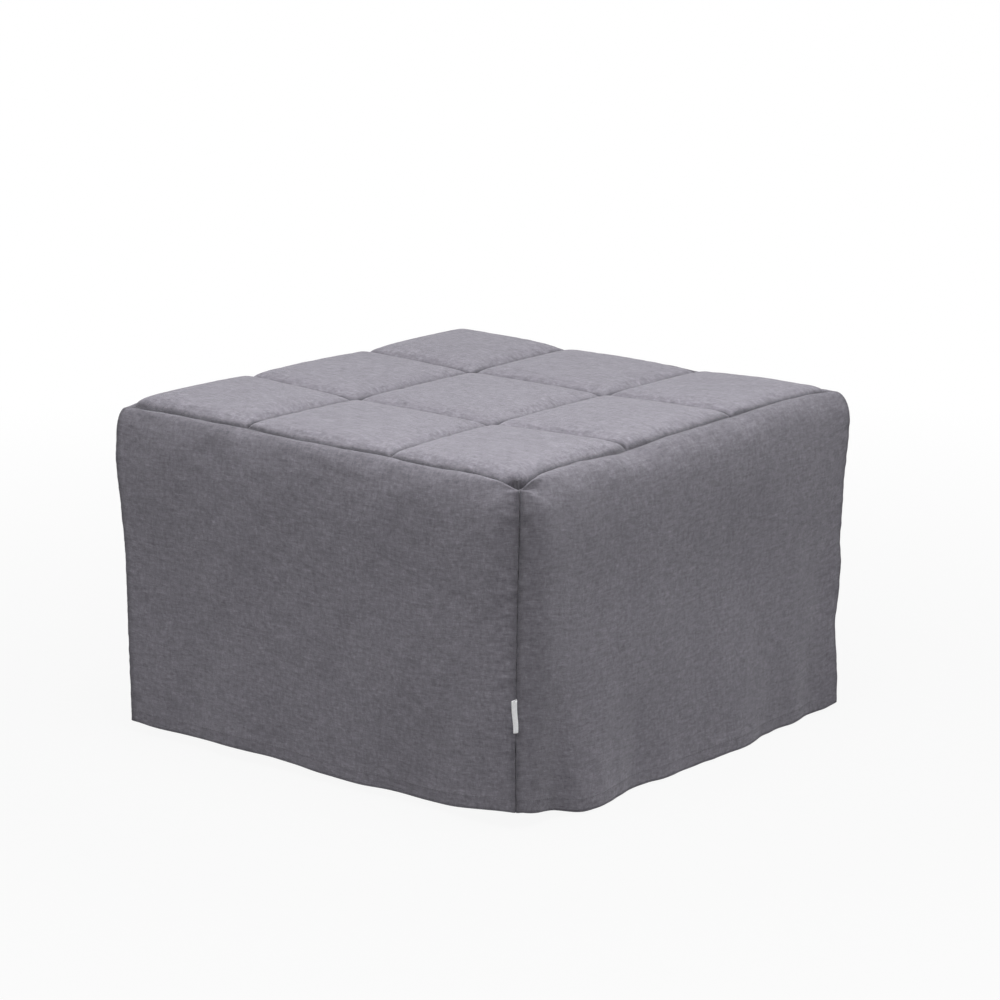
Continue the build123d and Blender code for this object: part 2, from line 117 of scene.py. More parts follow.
def eased(count, ease):
    """Steps from 0 to 1 that lie closer together at both ends."""
    t = np.linspace(0, 1, count)
    return t - ease / (2 * math.pi) * np.sin(2 * math.pi * t)


def add_object(name, data):
    """A new object in the scene."""
    obj = bpy.data.objects.new(name, data)
    bpy.context.scene.collection.objects.link(obj)
    return obj


def finish_mesh(name, points, faces, uv=None, crease=None):
    """A smooth object from points in millimetres, with a cloth map in metres and the painted shade of its
    creases.
    """
    mesh = bpy.data.meshes.new(name)
    mesh.from_pydata((np.asarray(points).reshape(-1, 3) * MM).tolist(), [], np.asarray(faces).tolist())
    mesh.update()
    mesh.polygons.foreach_set("use_smooth", [True] * len(mesh.polygons))
    if uv is not None:
        layer = mesh.uv_layers.new(name="cloth")
        corners = np.zeros(len(mesh.loops), int)
        mesh.loops.foreach_get("vertex_index", corners)
        layer.data.foreach_set("uv", (np.asarray(uv).reshape(-1, 2)[corners] * MM).ravel())
    if crease is not None:
        mesh.attributes.new("crease", "FLOAT", "POINT").data.foreach_set("value", np.asarray(crease).ravel())
    return add_object(name, mesh)


def coordinates(mesh):
    """The points of a mesh, in metres."""
    points = np.zeros(len(mesh.vertices) * 3)
    mesh.vertices.foreach_get("co", points)
    return points.reshape(-1, 3)


def index_faces(index):
    """Four-cornered faces between the rows and columns of a grid of point numbers."""
    return np.stack([index[:-1, :-1], index[:-1, 1:], index[1:, 1:], index[1:, :-1]], -1).reshape(-1, 4)


def grid_faces(rows, columns, first=0):
    """Four-cornered faces of a grid of points."""
    return index_faces(np.arange(rows * columns).reshape(rows, columns) + first)


def lengths(path):
    """How far along a path each of its points lies."""
    return np.concatenate([[0], np.linalg.norm(np.diff(path, axis=0), axis=1).cumsum()])


def at_length(place, gone, path):
    """The point of a path at a length along it."""
    return np.stack([np.interp(place, gone, path[:, k]) for k in range(3)], -1)


def flat_map(points):
    """How far along and up each grid point lies on the cloth."""
    along = np.linalg.norm(np.diff(points, axis=1), axis=2)
    along = np.concatenate([np.zeros((points.shape[0], 1)), along.cumsum(1)], 1)
    along = along - along[:, [points.shape[1] // 2]]
    up = np.linalg.norm(np.diff(points, axis=0), axis=2)
    up = np.concatenate([np.zeros((1, points.shape[1])), up.cumsum(0)], 0)
    return np.stack([along, up], -1)


# Materials


class Nodes:
    """Short way to write the nodes of a material or a world."""

    def __init__(self, owner):
        owner.use_nodes = True
        self.owner = owner
        self.tree = owner.node_tree
        self.shader = self.tree.nodes.get("Principled BSDF")

    def add(self, kind, inputs=None, **settings):
        node = self.tree.nodes.new(kind)
        for key, value in settings.items():
            setattr(node, key, value)
        for key, value in (inputs or {}).items():
            self.set(node.inputs[key], value)
        return node

    def set(self, socket, value):
        if isinstance(value, bpy.types.NodeSocket):
            self.tree.links.new(value, socket)
        elif isinstance(value, bpy.types.Node):
            self.tree.links.new(value.outputs[0], socket)
        else:
            socket.default_value = value

    def math(self, operation, a, b=0.5):
        return self.add("ShaderNodeMath", {0: a, 1: b}, operation=operation)

    def weighed(self, *parts):
        """The sum of values, each times its weight."""
        total = None
        for value, weight in parts:
            part = self.math("MULTIPLY", value, weight)
            total = part if total is None else self.math("ADD", total, part)
        return total

    def place(self):
        return self.add("ShaderNodeTexCoord").outputs["Object"]

    def cloth_map(self):
        return self.add("ShaderNodeUVMap", uv_map="cloth").outputs[0]

    def noise(self, place, scale, detail=2.0, rough=0.5, twist=0.0):
        inputs = {"Vector": place, "Scale": scale, "Detail": detail, "Roughness": rough, "Distortion": twist}
        return self.add("ShaderNodeTexNoise", inputs).outputs[0]

    def stretched(self, place, size):
        return self.add("ShaderNodeMapping", {"Vector": place, "Scale": size}).outputs[0]

    def bands(self, place, scale, way, twist, detail=2.0, size=1.0):
        inputs = {"Vector": place, "Scale": scale, "Distortion": twist, "Detail": detail}
        return self.add("ShaderNodeTexWave", {**inputs, "Detail Scale": size}, bands_direction=way).outputs[1]

    def spread(self, noise, low=0.0, high=1.0):
        """A noise spread over a range. Its own values lie between about 0.3 and 0.7."""
        return self.span(noise, 0.3, 0.7, low, high)

    def span(self, value, low, high, out_low=0.0, out_high=1.0):
        return self.add("ShaderNodeMapRange", {0: value, 1: low, 2: high, 3: out_low, 4: out_high}).outputs[0]

    def ramp(self, value, stops):
        node = self.add("ShaderNodeValToRGB", {0: value})
        ramp = node.color_ramp
        while len(ramp.elements) < len(stops):
            ramp.elements.new(0.5)
        for element, (place, color) in zip(ramp.elements, stops):
            element.position = place
            element.color = (*color, 1)
        return node.outputs[0]

    def mix(self, factor, a, b, blend="MIX"):
        node = self.add("ShaderNodeMix", data_type="RGBA", blend_type=blend)
        for index, value in ((0, factor), (6, a), (7, b)):
            if isinstance(value, tuple):
                value = (*value, 1)
            self.set(node.inputs[index], value)
        return node.outputs[2]

    def bump(self, height, distance, strength=1.0, normal=None):
        node = self.add("ShaderNodeBump", {"Height": height, "Distance": distance, "Strength": strength})
        if normal is not None:
            self.set(node.inputs["Normal"], normal)
        return node.outputs[0]

    def seen(self):
        """1 for the rays that should see a white background: from the camera, off gloss and through glass."""
        rays = self.add("ShaderNodeLightPath")
        seen = self.math("MAXIMUM", rays.outputs["Is Camera Ray"], rays.outputs["Is Glossy Ray"])
        return self.math("MAXIMUM", seen, rays.outputs["Is Transmission Ray"])

    def done(self, color, roughness, normal=None, **sockets):
        self.set(self.shader.inputs["Base Color"], color)
        self.set(self.shader.inputs["Roughness"], roughness)
        if normal is not None:
            self.set(self.shader.inputs["Normal"], normal)
        for key, value in sockets.items():
            self.shader.inputs[key.replace("_", " ")].default_value = value
        return self.owner


def new_material(name):
    return Nodes(bpy.data.materials.new(name))


def melange(name, solid=False):
    """Heathered grey linen-look cloth: crossing threads of mixed greys, slubs, a soft fuzz, and painted shade
    in its creases.

    The cloth is mapped flat, or solid on the quilt, whose walls are too steep for a flat map.
    """
    n = new_material(name)
    place = n.place() if solid else n.cloth_map()
    weft = n.noise(n.stretched(place, (110, 900, 500)), 1.0, 3.0, 0.6)
    warp = n.noise(n.stretched(place, (900, 130, 500)), 1.0, 3.0, 0.6)
    threads = n.weighed((weft, 0.55), (warp, 0.45))
    slub = n.noise(n.stretched(place, (45, 260, 150)), 1.0, 4.0, 0.62, 0.4)
    cloud = n.noise(place, 160.0, 3.0, 0.6, 0.6)
    mixed = n.weighed((threads, 0.5), (slub, 0.25), (cloud, 0.25))
    worms = n.noise(n.stretched(place, (55, 190, 120)), 1.0, 2.0, 0.5, 0.5)
    posts = n.noise(n.stretched(place, (200, 60, 120)), 1.0, 2.0, 0.5, 0.5)
    patches = n.math("ADD", worms, posts)
    color = n.ramp(
        mixed,
        [
            (0.34, (0.100, 0.094, 0.108)),
            (0.47, (0.190, 0.180, 0.206)),
            (0.55, (0.236, 0.225, 0.256)),
            (0.70, (0.370, 0.356, 0.396)),
        ],
    )
    color = n.mix(1.0, color, n.span(patches, 0.75, 1.25, 0.87, 1.10), "MULTIPLY")
    broad = n.noise(place, 9.0, 3.0, 0.55)
    color = n.mix(n.spread(broad, 0.0, 0.16), color, (0.15, 0.143, 0.168))
    across, upward = (n.bands(place, 290.0, way, 0.6, 1.0, 0.6) for way in ("X", "Y"))
    weave = n.math("MAXIMUM", across, upward)
    color = n.mix(1.0, color, n.span(weave, 0.15, 0.75, 0.62, 1.0), "MULTIPLY")
    # Painted shade: the cloth is darkened, down to a quarter of its colour, along seams, channels, a fold and
    # the near corner hollow, where shade falls
    crease = n.add("ShaderNodeAttribute", attribute_name="crease").outputs["Fac"]
    color = n.mix(1.0, color, n.span(crease, 0.0, 1.0, 1.0, 0.25), "MULTIPLY")
    fine = n.bump(n.weighed((weave, 0.6), (threads, 0.8)), 0.0004, 0.75)
    rumples = n.noise(place, 22.0, 3.0, 0.5, 0.8)
    ridges = n.noise(n.stretched(place, (60, 35, 1)), 1.0, 2.0, 0.5)
    normal = n.bump(n.weighed((rumples, 0.7), (ridges, 0.3)), 0.0018 if solid else 0.0035, 0.5, fine)
    return n.done(
        color,
        n.spread(mixed, 0.97, 0.84),
        normal,
        Sheen_Weight=0.35,
        Sheen_Roughness=0.45,
        Sheen_Tint=(0.86, 0.85, 0.92, 1),
        Specular_IOR_Level=0.15,
    )


def satin_label():
    """White woven label tape: close ribs, slightly glossy."""
    n = new_material("label_satin")
    flat = n.cloth_map()
    ribs = n.bands(flat, 520.0, "Y", 0.3)
    worn = n.noise(flat, 260.0, 3.0)
    color = n.mix(n.span(worn, 0.35, 0.7), (0.90, 0.90, 0.91), (0.80, 0.80, 0.82))
    color = n.mix(n.span(ribs, 0.0, 0.6, 0.12, 0.0), color, (0.5, 0.5, 0.52))
    return n.done(color, n.spread(worn, 0.42, 0.6), n.bump(ribs, 0.0002, 0.5), Sheen_Weight=0.2)


def sewing_thread(name, base):
    """Twisted sewing thread."""
    n = new_material(name)
    place = n.place()
    twist = n.noise(place, 2600.0, 2.0)
    color = n.mix(n.span(twist, 0.35, 0.65), tuple(c * 0.7 for c in base), tuple(c * 1.25 for c in base))
    return n.done(color, n.spread(twist, 0.55, 0.8), n.bump(twist, 0.0002, 0.5), Sheen_Weight=0.2)


def ticking():
    """Pale knitted mattress cloth with a low pattern of lozenges."""
    n = new_material("mattress_ticking")
    place = n.place()
    turned = n.add("ShaderNodeMapping", {"Vector": place, "Rotation": (0, 0, math.radians(45))}).outputs[0]
    lines = [n.span(n.bands(turned, 9.0, way, 0.4, 1.0, 2.0), 0.0, 0.16) for way in ("X", "Y")]
    quilt = n.math("MINIMUM", *lines)
    knit = n.noise(n.stretched(place, (1500, 700, 900)), 1.0, 2.0, 0.5)
    cloud = n.noise(place, 14.0, 4.0, 0.55)
    color = n.mix(n.spread(cloud), (0.74, 0.72, 0.67), (0.66, 0.645, 0.61))
    color = n.mix(n.spread(knit, 0.0, 0.25), color, (0.5, 0.49, 0.47))
    color = n.mix(n.span(quilt, 0.0, 1.0, 0.25, 0.0), color, (0.45, 0.44, 0.42))
    small = n.bump(knit, 0.0004, 0.6)
    normal = n.bump(n.weighed((quilt, 0.7), (cloud, 0.5)), 0.002, 0.6, small)
    return n.done(color, n.spread(knit, 0.8, 0.95), normal, Sheen_Weight=0.25, Specular_IOR_Level=0.2)


def piping_cloth():
    """Grey woven tape over the mattress piping."""
    n = new_material("mattress_piping_cloth")
    place = n.place()
    weave = n.noise(place, 1600.0, 2.0)
    cloud = n.noise(place, 60.0, 3.0)
    color = n.mix(n.spread(weave), (0.20, 0.20, 0.21), (0.36, 0.36, 0.375))
    color = n.mix(n.spread(cloud, 0.0, 0.3), color, (0.22, 0.22, 0.23))
    return n.done(color, n.spread(weave, 0.75, 0.92), n.bump(weave, 0.0004, 0.6), Sheen_Weight=0.2)


def coated_steel(name, base, gloss):
    """Powder coated steel: orange peel, dust, and coat worn thin in places."""
    n = new_material(name)
    place = n.place()
    peel = n.noise(place, 900.0, 3.0, 0.5)
    cloud = n.noise(place, 18.0, 4.0, 0.6)
    dust = n.noise(place, 160.0, 4.0, 0.7)
    color = n.mix(n.spread(cloud), base, tuple(c * 1.35 for c in base))
    color = n.mix(n.span(dust, 0.58, 0.74, 0.0, 0.35), color, (0.30, 0.30, 0.30))
    rough = n.math("ADD", n.spread(cloud, gloss, gloss + 0.12), n.span(dust, 0.5, 0.8, 0.0, 0.15))
    return n.done(color, rough, n.bump(peel, 0.0003, 0.5), Metallic=0.0, Coat_Weight=0.25, Coat_Roughness=0.3)


def zinc():
    """Zinc plated steel, a little brushed and dull in patches."""
    n = new_material("zinc_plated_steel")
    place = n.place()
    brush = n.noise(n.stretched(place, (400, 3000, 400)), 1.0, 2.0)
    patch = n.noise(place, 90.0, 4.0, 0.6)
    color = n.mix(n.span(patch, 0.35, 0.7), (0.66, 0.67, 0.70), (0.50, 0.50, 0.50))
    rough = n.math("ADD", n.spread(brush, 0.24, 0.36), n.span(patch, 0.4, 0.8, 0.0, 0.15))
    return n.done(color, rough, n.bump(brush, 0.0001, 0.4), Metallic=1.0)


def black_plastic():
    """Moulded black plastic with a fine spark-eroded texture and pale scuffs."""
    n = new_material("moulded_plastic")
    place = n.place()
    grain = n.noise(place, 1400.0, 3.0, 0.6)
    scuff = n.noise(n.stretched(place, (60, 200, 120)), 1.0, 4.0, 0.65)
    color = n.mix(n.span(scuff, 0.55, 0.75, 0.0, 0.45), (0.030, 0.030, 0.033), (0.13, 0.13, 0.13))
    rough = n.span(scuff, 0.4, 0.75, 0.48, 0.7)
    return n.done(color, rough, n.bump(grain, 0.0003, 0.5), Specular_IOR_Level=0.45)


def slat_wood():
    """Bent birch slats: long pale grain across the bed, fine pores, and a thin satin lacquer."""
    n = new_material("slat_birch")
    place = n.place()
    along = n.stretched(place, (22, 0.9, 22))
    warped = n.noise(along, 1.0, 3.0, 0.5, 0.4)
    rings = n.bands(n.stretched(place, (1, 0.05, 1)), 16.0, "X", 7.0, 3.0, 0.8)
    pores = n.noise(n.stretched(place, (900, 40, 900)), 1.0, 2.0)
    color = n.ramp(
        n.weighed((rings, 0.45), (warped, 0.55)),
        [(0.2, (0.50, 0.33, 0.18)), (0.5, (0.64, 0.46, 0.28)), (0.8, (0.74, 0.57, 0.38))],
    )
    color = n.mix(n.span(pores, 0.62, 0.75, 0.0, 0.5), color, (0.30, 0.18, 0.09))
    rough = n.span(pores, 0.3, 0.8, 0.38, 0.6)
    normal = n.bump(n.math("ADD", n.math("MULTIPLY", rings, 0.3), pores), 0.0003, 0.4)
    return n.done(color, rough, normal, Coat_Weight=0.3, Coat_Roughness=0.25)


# The hanging panels

# How far the seams of the left and right corners are drawn in from both faces at each height
left_drape = [
    (0, 4.5), (60, 4), (170, 3), (240, 2.6), (290, 1.6), (320, 0), (350, -1.4), (376, -3.2), (410, -4.6),
    (440, -3.6),
]
right_drape = [
    (0, 4), (43, 3.6), (73, 4.5), (104, 6), (134, 7.5), (165, 5.2), (195, 3.6), (226, 2.6), (256, 4),
    (287, 3.4), (317, 2.2), (348, 1.6), (378, 0), (409, -2), (440, -3),
]

# How far each corner seam is drawn in at each height: from the X faces, then from the Y faces.
# Then the height of the hem there, and the insets of the lip's crest and seam with their heights.
corner_shapes = {
    "near": {
        "x": [(0, 25), (40, 25), (100, 24.5), (185, 23.4), (300, 19.7), (400, 12), (440, 7)],
        "y": [(0, 22.5), (40, 22), (100, 20.5), (185, 20), (300, 18), (400, 12), (440, 7)],
        "lift": 25,
        "lip": (9, 27, 471, 458),
    },
    "left": {"x": left_drape, "y": left_drape, "lift": 18, "lip": (7, 15, 484, 485)},
    "right": {"x": right_drape, "y": right_drape, "lift": 11, "lip": (14, 22, 483.5, 480)},
    "back": {
        "x": [(0, 8), (100, 7), (240, 6), (350, 2), (410, -1.5), (440, -1)],
        "y": [(0, 7), (100, 7), (240, 7), (350, 3), (410, -1.5), (440, -1)],
        "lift": 12,
        "lip": (9, 16, 482.5, 480),
    },
}

# The middle of every panel: its inset at each height
middle_inset = [(0, 10), (60, 9.5), (180, 8), (300, 5), (360, 1.2), (400, -1), (430, -1), (440, -0.6)]

# Each panel: its corners as seen from outside, its face, and how far the corners' shapes reach along it.
# A row of its hem is a share of its width, a height and an inset. A row of its lip is a share and the
# inset and height of the crest. From there the seam lies in and down by the panel's fall, or by the row's
# own. Fans are the depths of the folds at its top corners.
panels = {
    "front": {
        "ends": ("left", "near"),
        "plane": "y",
        "turn": 0,
        "reach": (26, 18),
        "hem": [
            (0, 18, 6), (0.027, 16, 8), (0.154, 14.5, 13), (0.24, 17, 13), (0.305, 17.5, 13), (0.383, 16, 13),
            (0.461, 14, 13), (0.54, 12, 14), (0.617, 11, 15), (0.695, 12.5, 17), (0.773, 10.5, 17),
            (0.85, 12.5, 18), (0.93, 20, 19), (1, 25, 22),
        ],
        "lip": [
            (0.05, 12, 484, 5.8, 3.6), (0.15, 16, 484), (0.27, 16, 484), (0.325, 21, 482, 4.8, 2),
            (0.37, 16, 482), (0.5, 16, 481.5), (0.61, 16, 481.5), (0.66, 21, 480, 4.8, 2),
            (0.71, 16, 480), (0.82, 16, 479.5), (0.9, 15, 480.5, 6.8, 6.1), (0.95, 11, 477.5, 13, 11.5),
        ],
        "fall": (4.8, 4.1),
        "fans": (0.6, 1.6),
        "seed": 3,
    },
    "right": {
        "ends": ("near", "right"),
        "plane": "x",
        "turn": 90,
        "reach": (28, 26),
        "hem": [
            (0, 25, 24), (0.02, 21, 21), (0.09, 12, 21), (0.145, 3, 2), (0.197, 2.5, -5), (0.268, 2.5, 1),
            (0.33, 2.5, 7), (0.389, 1.5, 3), (0.483, 1.5, 2), (0.577, 1.5, 0), (0.67, 1.5, 1),
            (0.745, 2.5, 9), (0.8, 3, 10), (0.859, 2, 8), (0.91, 3, 12), (0.967, 4, 8), (1, 11, 4),
        ],
        "lip": [
            (0.04, 15, 476.5, 11, 10.5), (0.09, 21, 480.5, 6.8, 5.1), (0.15, 24, 482), (0.25, 24, 480),
            (0.3, 24, 478, 4.8, 3.1), (0.342, 29, 475.5, 4.8, 1.8), (0.39, 24, 479.5, 4.8, 3.6),
            (0.45, 24, 482.5), (0.56, 24, 484), (0.64, 25, 484.5), (0.683, 29, 483, 3.8, 2.1),
            (0.73, 25, 486), (0.85, 25, 486.5), (0.94, 20, 485.5, 6.8, 4.6),
        ],
        "fall": (4.8, 4.1),
        "fans": (5.0, 0.6),
        "seed": 8,
    },
    "back": {
        "ends": ("right", "back"),
        "plane": "y",
        "turn": 180,
        "reach": (26, 24),
        "hem": [(0, 11, 5), (0.2, 4, 11), (0.4, 6, 8), (0.62, 4, 13), (0.85, 5, 9), (1, 12, 8)],
        "lip": [
            (0.08, 10, 482), (0.3, 10, 481), (0.345, 14, 480, 4.8, 2.4), (0.39, 10, 481), (0.64, 10, 481),
            (0.69, 14, 480, 4.8, 2.4), (0.73, 10, 483), (0.92, 9, 485, 6.8, 4.1),
        ],
        "fall": (5.8, 4.1),
        "fans": (0.6, 1.0),
        "seed": 14,
    },
    "left": {
        "ends": ("back", "left"),
        "plane": "x",
        "turn": -90,
        "reach": (24, 26),
        "hem": [(0, 12, 8), (0.2, 5, 8), (0.45, 7, 13), (0.7, 5, 9), (0.9, 10, 9), (1, 18, 5)],
        "lip": [
            (0.08, 8, 484.5), (0.28, 8, 485), (0.325, 11, 483.5, 4.8, 2.1), (0.37, 8, 485), (0.63, 8, 486),
            (0.672, 11, 484, 4.8, 2.1), (0.72, 8, 486), (0.94, 7, 486.5, 6.8, 3.6),
        ],
        "fall": (5.8, 4.1),
        "fans": (1.0, 0.6),
        "seed": 21,
    },
}

# A panel's rows on its hanging part, on its lip and under the top, and how its columns crowd at its ends
body_rows = 104
lip_rows = 20
tail_rows = 3
column_ease = 0.82

# Where on the lip the crest lies, and how far its tail runs in and down under the top
crest_share = 0.55
tail_run = 4
tail_drop = 0.4

# The valley of a corner seam: its depths, the roll beside it, and the shares of that for valley and bulge
seam_folds = {"near": 4.6, "left": 2.2, "right": 2.2, "back": 2.2}
seam_roll = 8.0
valley_share = 0.2
bulge_share = 0.3

# How far up the hem's line and its folds reach, and how far a corner seam holds the hem
hem_reach = 0.66
fold_reach = 0.9
hem_held = 6

# The turned hem: its height, how far it stands out, and the softness of its edge
hem_height = 22
hem_proud = 0.7
hem_blur = 0.8

# Waves in the cloth, each as depth and length
hem_folds = (2.6, 150)
broad_waves = (1.5, 190)
small_waves = (0.45, 60)
seam_puckers = (0.7, 26)
hem_puckers = (0.5, 38)
lip_puckers = (0.8, 34)
lip_waves = (0.7, 110)
crest_puckers = (0.3, 45)
crest_waves = (0.5, 130)
seam_pucker_reach = 22
hem_pucker_reach = 40
wave_fade = 0.3

# The fan of folds at a top corner: its start, size and bearing
fan_start = 5
fan_step = 0.6
fan_height = 58
fan_spread = 34
fan_lean = 0.1
fan_width = 0.6

# How dark the painted shade is along the top seam, beside it and along a corner seam, and how wide
seam_painted_shade = (0.55, 5)
lip_painted_shade = (0.33, 22)
corner_painted_shade = (0.6, 6)

# The shade beside the near corner seam: how dark and wide it is, how it widens, and where it ends
shade_dark = 0.17
shade_width = 26
shade_growth = 96
shade_top = 455


def lip_point(start, crest_in, seam_in, crest_z, seam_z, step):
    """The rounded lip: up and over its crest, down to the seam, then a little under the top."""
    rise = np.clip(step / crest_share, 0, 1) * math.pi / 2
    fall = np.clip((step - crest_share) / (1 - crest_share), 0, 1) * math.pi / 2
    tail = np.clip(step - 1, 0, 1)
    inset = start + (crest_in - start) * (1 - np.cos(rise)) + (seam_in - crest_in) * np.sin(fall)
    height = lip_start + (crest_z - lip_start) * np.sin(rise) - (crest_z - seam_z) * (1 - np.cos(fall))
    return inset + tail * tail_run, height - tail * tail_drop


def corner_inset(corner, plane, step, kind):
    """How far a corner seam lies in from a face, at a row of the grid."""
    shape = corner_shapes[corner]
    if kind == "body":
        return through(shape["lift"] + (lip_start - shape["lift"]) * step, shape[plane])
    return lip_point(shape[plane][-1][1], *shape["lip"], step)[0]


def lip_values(panel, share):
    """Insets and heights of a panel's crest and seam along its run, with those of the corners at its ends."""
    first, last = (corner_shapes[end]["lip"] for end in panel["ends"])
    rows = [(0, *first)]
    for at, crest_in, crest_z, *fall in panel["lip"]:
        run, drop = fall or panel["fall"]
        rows.append((at, crest_in, crest_in + run, crest_z, crest_z - drop))
    rows.append((1, *last))
    return [through(share, [(row[0], row[k]) for row in rows]) for k in range(1, 5)]


def panel_rows():
    """The step and the kind of each row of a panel, from the hem up. Under the top the steps pass 1."""
    rows = [(t, "body") for t in np.linspace(0, 1, body_rows)]
    rows += [(t, "lip") for t in np.linspace(0, 1, lip_rows)[1:]]
    return rows + [(1 + t, "lip") for t in np.linspace(0, 1, tail_rows)[1:]]


def between(own, middle, near):
    """A value that follows the middle's, and each corner's own where that is near."""
    return middle + (own[0] - middle) * near[0] + (own[1] - middle) * near[1]


def hang(panel, step, own, hem, along, gaps, near):
    """Insets and heights of a row of a panel's hanging part."""
    seed = panel["seed"]
    hem_z, hem_in = hem
    seam_gap = np.minimum(*gaps)
    free = (1 - near[0]) * (1 - near[1])
    loose = 1 - bell(seam_gap, hem_held)
    height = hem_z + (lip_start - hem_z) * step
    inset = between(own, through(height, middle_inset), near)
    decay = np.clip(1 - step / hem_reach, 0, 1) ** 2
    inset = inset + (hem_in - between(own, middle_inset[0][1], near)) * decay * loose
    low = np.clip(1 - step / fold_reach, 0, 1) ** 1.3
    inset = inset + free * (
        low * waves(hem_folds, along, height * 0.35, seed)
        + waves(broad_waves, along, height, seed + 1)
        + waves(small_waves, along, height, seed + 2)
    )
    seams = np.exp(-seam_gap / seam_pucker_reach) * (1 - np.exp(-seam_gap / seam_roll / valley_share))
    inset = inset + seams * waves(seam_puckers, gaps[0], height, seed + 3, 1.6)
    inset = inset + np.exp(-height / hem_pucker_reach) * free * waves(hem_puckers, along, height, seed + 4)
    return inset - hem_proud * below(height - hem_z, hem_height, hem_blur) * loose, height


def roll_over(panel, step, lip, along, gaps, near):
    """Insets and heights of a row of a panel's lip, or of its tail under the top."""
    seed = panel["seed"]
    starts = [corner_shapes[end][panel["plane"]][-1][1] for end in panel["ends"]]
    inset, height = lip_point(starts[0] * near[0] + starts[1] * near[1], *lip, step)
    arch = math.sin(math.pi * min(step, 1.0))
    for depth, gap in zip(panel["fans"], gaps):
        reach, rise = gap + fan_start, (step - fan_step) * fan_height
        spread = np.hypot(reach, rise) / fan_spread
        bearing = np.arctan2(rise, reach)
        fold = depth * arch * spread * np.exp(1 - spread) * np.sin(9 * bearing + 2.4)
        fold = fold * bell(bearing + fan_lean, fan_width)
        inset = inset - fold * 0.7
        height = height + fold
    free = (1 - near[0]) * (1 - near[1])
    waving = waves(lip_puckers, along, height, seed + 5) + waves(lip_waves, along, height, seed + 6)
    inset = inset + free * arch * waving
    height = height + free * arch * waves(crest_puckers, along, 0, seed + 7)
    height = height + free * arch * waves(crest_waves, along, 0, seed + 9)
    fade = max(1 - step / wave_fade, 0)
    inset = inset + fade * free * waves(broad_waves, along, lip_start, seed + 1)
    inset = inset + fade * free * waves(small_waves, along, lip_start, seed + 2)
    return inset, height


def panel_points(panel, columns):
    """Grid points of a hanging panel, in the cover's frame."""
    plane, ends = panel["plane"], panel["ends"]
    run_half, out_half, other = (half_x, half_y, "x") if plane == "y" else (half_y, half_x, "y")
    share = eased(columns, column_ease)
    hem = [through(share, [(row[0], row[k]) for row in panel["hem"]]) for k in (1, 2)]
    lip = lip_values(panel, share)
    points = []
    for step, kind in panel_rows():
        own, side = ([corner_inset(end, face, step, kind) for end in ends] for face in (plane, other))
        kept = 1.0 if kind == "body" else max(1 - step, 0)
        folds = [seam_folds[end] * kept for end in ends]
        start = -run_half + side[0] + folds[0]
        stop = run_half - side[1] - folds[1]
        along = start + (stop - start) * share
        gaps = (along - start, stop - along)
        near = [bell(gap, reach) for gap, reach in zip(gaps, panel["reach"])]
        if kind == "body":
            inset, height = hang(panel, step, own, hem, along, gaps, near)
        else:
            inset, height = roll_over(panel, step, lip, along, gaps, near)
        first = gaps[0] < gaps[1]
        fold = np.where(first, *folds)
        roll = np.minimum(*gaps) / seam_roll
        inset = inset + fold * np.exp(-roll / valley_share)
        bulge = fold * roll / bulge_share * np.exp((1 - (roll / bulge_share) ** 2) / 2)
        along = along + np.where(first, -bulge, bulge)
        points.append(np.stack([along, inset - out_half, height], -1))
    points = np.array(points)
    turn = math.radians(panel["turn"])
    x, y = points[..., 0], points[..., 1]
    turned_x = x * math.cos(turn) - y * math.sin(turn)
    turned_y = x * math.sin(turn) + y * math.cos(turn)
    return np.stack([turned_x, turned_y, points[..., 2]], -1)


def painted_shade_at(gap, kind):
    """How dark the painted shade of a crease of a kind is at a gap from it."""
    painted_dark, width = kind
    return painted_dark * bell(gap, width)


def panel_painted_shade(points):
    """How dark the painted shade of the creases along the top seam and the corner seams is at each point of a
    panel.
    """
    gap = np.linalg.norm(points - points[-tail_rows], axis=2)
    painted_dark = painted_shade_at(gap, seam_painted_shade) + painted_shade_at(gap, lip_painted_shade)
    for column in (0, -1):
        gap = np.linalg.norm(points - points[:, [column]], axis=2)
        painted_dark = np.maximum(painted_dark, painted_shade_at(gap, corner_painted_shade))
    return painted_dark


def fold_shade(points):
    """The shade in the long fold that runs down beside the near corner seam, wider towards the hem."""
    height = points[..., 2]
    gap = np.linalg.norm(points - points[:, [0]], axis=2)
    reach = shade_width + shade_growth * np.clip(1 - height / (shade_top + 5), 0, 1) ** 1.6
    return shade_dark * below(gap, reach, 7) * below(height, shade_top, 6)


def thicken(obj, depth, side=-1):
    """Give a sheet its thickness, as real geometry."""
    solid = obj.modifiers.new("cloth", "SOLIDIFY")
    solid.thickness = depth * MM
    solid.offset = side


cover_cloth = melange("cover_melange")
quilt_cloth = melange("quilt_melange", solid=True)
panel_grids = {}
for name, panel in panels.items():
    columns = 196 if panel["plane"] == "x" else 190
    points = panel_points(panel, columns)
    # Painted shade along the panel's seams, and on the right panel beside the near corner seam
    painted_shades = panel_painted_shade(points)
    if name == "right":
        painted_shades = painted_shades + fold_shade(points)
    panel_grids[name] = points
    faces = grid_faces(*points.shape[:2])
    obj = finish_mesh("cover_" + name + "_cloth", points, faces, flat_map(points), painted_shades)
    obj.data.materials.append(cover_cloth)
    thicken(obj, cloth)
    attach(obj, "cover")
    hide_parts("cover_" + name + "_panel")

# The quilted top

cell_steps = 74
cell_ease = 0.62
channel_depth_x = 15.0
channel_depth_y = 12.5
channel_edge = 0.984

# How flat a square is in its middle, and how round at its edges
puff_power = 7
puff_root = 0.43
square_size = 240

# The hollow at the near corner: the corner's place, and the hollow's reach, depth and edge
corner_seam = 27
hollow_reach = 15.5
hollow_depth = 28
hollow_blur = 0.8

